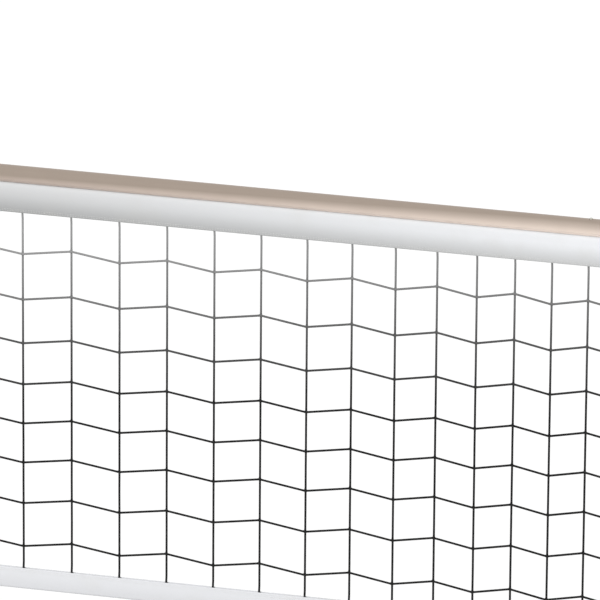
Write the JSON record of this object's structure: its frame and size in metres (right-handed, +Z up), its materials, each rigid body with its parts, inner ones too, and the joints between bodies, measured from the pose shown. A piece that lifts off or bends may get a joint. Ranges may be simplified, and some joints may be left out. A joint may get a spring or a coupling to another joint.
{
  "type": "volleyball net on poles",
  "caption": "Free-standing short-court volleyball net: corded-edge head band on a jointed round top pole, telescoping cam-clamped posts and ballasted wheeled bases.",
  "frame": {"origin": "on the floor, midway between the two posts, in the plane of the net", "axes": "+X along the net, to the right as the picture sees it; +Y away from the picture's camera; +Z up"},
  "size_m": [5.08, 0.9, 2.435],
  "materials": {
    "pole_finish": "satin taupe anodising",
    "post_aluminium": "satin grey anodising",
    "cast_joint": "dark powder coat on cast aluminium",
    "base_steel": "textured powder coat",
    "ballast_iron": "hammered enamel",
    "zinc_steel": "bright zinc plate",
    "spring_steel": "bare spring steel",
    "band_canvas": "coated white canvas",
    "net_cord": "dark knotless polyethylene cord",
    "rope": "braided polyester",
    "webbing": "woven webbing",
    "dowel_wood": "plain ash",
    "nylon": "natural nylon",
    "lever_plastic": "glass-filled nylon",
    "knob_plastic": "moulded phenolic",
    "rim_plastic": "moulded grey nylon",
    "tyre_rubber": "solid rubber",
    "pad_rubber": "ribbed rubber"
  },
  "bodies": {
    "stands": {"base_frame_left": "base_steel", "floor_pads_left": "pad_rubber", "ballast_blocks_left": "ballast_iron", "lower_tube_left": "post_aluminium", "top_bush_left": "nylon", "clamp_collar_left": "cast_joint", "clamp_skewer_left": "zinc_steel", "base_frame_right": "base_steel", "floor_pads_right": "pad_rubber", "ballast_blocks_right": "ballast_iron", "lower_tube_right": "post_aluminium", "top_bush_right": "nylon", "clamp_collar_right": "cast_joint", "clamp_skewer_right": "zinc_steel", "wheel_axles": "zinc_steel", "socket_bolts": "zinc_steel", "socket_nuts": "zinc_steel", "clamp_nuts": "zinc_steel"},
    "net_frame": {"upper_tube_left": "post_aluminium", "guide_plug_left": "nylon", "corner_joint_left": "cast_joint", "side_band_left": "band_canvas", "side_straps_left": "webbing", "upper_tube_right": "post_aluminium", "guide_plug_right": "nylon", "corner_joint_right": "cast_joint", "side_band_right": "band_canvas", "side_straps_right": "webbing", "top_pole_1": "pole_finish", "top_pole_2": "pole_finish", "top_pole_3": "pole_finish", "pole_coupler_1": "post_aluminium", "pole_coupler_2": "post_aluminium", "button_spring_1": "spring_steel", "button_spring_2": "spring_steel", "corner_screws": "zinc_steel", "coupler_rivets": "zinc_steel", "top_band": "band_canvas", "bottom_band": "band_canvas", "bolt_rope": "rope", "foot_rope": "rope", "side_dowels": "dowel_wood", "upright_cords": "net_cord", "level_cords": "net_cord"},
    "lever_left": {"clamp_lever_left": "lever_plastic"},
    "knob_front_left": {"ballast_knob_front_left": "knob_plastic"},
    "wheel_front_left": {"wheel_rim_front_left": "rim_plastic", "wheel_tyre_front_left": "tyre_rubber"},
    "knob_rear_left": {"ballast_knob_rear_left": "knob_plastic"},
    "wheel_rear_left": {"wheel_rim_rear_left": "rim_plastic", "wheel_tyre_rear_left": "tyre_rubber"},
    "lever_right": {"clamp_lever_right": "lever_plastic"},
    "knob_front_right": {"ballast_knob_front_right": "knob_plastic"},
    "wheel_front_right": {"wheel_rim_front_right": "rim_plastic", "wheel_tyre_front_right": "tyre_rubber"},
    "knob_rear_right": {"ballast_knob_rear_right": "knob_plastic"},
    "wheel_rear_right": {"wheel_rim_rear_right": "rim_plastic", "wheel_tyre_rear_right": "tyre_rubber"},
    "button_1": {"snap_button_1": "zinc_steel"},
    "button_2": {"snap_button_2": "zinc_steel"}
  },
  "joints": [
    {"name": "net_height", "type": "slide", "parent": "stands", "child": "net_frame", "axis": [0, 0, 1], "range_m": [-0.43, 0]},
    {"name": "clamp_lever_left_turn", "type": "hinge", "parent": "stands", "child": "lever_left", "pos_m": [-2.2946, -0.0225, 0.929], "axis": [1, 0, 0], "range_deg": [-95, 0]},
    {"name": "clamp_lever_right_turn", "type": "hinge", "parent": "stands", "child": "lever_right", "pos_m": [2.2946, -0.0225, 0.929], "axis": [1, 0, 0], "range_deg": [-95, 0]},
    {"name": "ballast_knob_front_left_turn", "type": "hinge", "parent": "stands", "child": "knob_front_left", "pos_m": [-2.29, -0.262, 0.094], "axis": [0, 0, 1], "continuous": true},
    {"name": "wheel_front_left_spin", "type": "hinge", "parent": "stands", "child": "wheel_front_left", "pos_m": [-2.5, -0.3, 0.042], "axis": [0, 1, 0], "continuous": true},
    {"name": "ballast_knob_rear_left_turn", "type": "hinge", "parent": "stands", "child": "knob_rear_left", "pos_m": [-2.29, 0.262, 0.094], "axis": [0, 0, 1], "continuous": true},
    {"name": "wheel_rear_left_spin", "type": "hinge", "parent": "stands", "child": "wheel_rear_left", "pos_m": [-2.5, 0.3, 0.042], "axis": [0, 1, 0], "continuous": true},
    {"name": "ballast_knob_front_right_turn", "type": "hinge", "parent": "stands", "child": "knob_front_right", "pos_m": [2.29, -0.262, 0.094], "axis": [0, 0, 1], "continuous": true},
    {"name": "wheel_front_right_spin", "type": "hinge", "parent": "stands", "child": "wheel_front_right", "pos_m": [2.5, -0.3, 0.042], "axis": [0, 1, 0], "continuous": true},
    {"name": "ballast_knob_rear_right_turn", "type": "hinge", "parent": "stands", "child": "knob_rear_right", "pos_m": [2.29, 0.262, 0.094], "axis": [0, 0, 1], "continuous": true},
    {"name": "wheel_rear_right_spin", "type": "hinge", "parent": "stands", "child": "wheel_rear_right", "pos_m": [2.5, 0.3, 0.042], "axis": [0, 1, 0], "continuous": true},
    {"name": "snap_button_1_press", "type": "slide", "parent": "net_frame", "child": "button_1", "axis": [0, 0, -1], "range_m": [0, 0.0045], "stiffness_N_per_m": 1500, "springref_m": -0.002, "deforming": ["button_spring_1"]},
    {"name": "snap_button_2_press", "type": "slide", "parent": "net_frame", "child": "button_2", "axis": [0, 0, -1], "range_m": [0, 0.0045], "stiffness_N_per_m": 1500, "springref_m": -0.002, "deforming": ["button_spring_2"]}
  ]
}
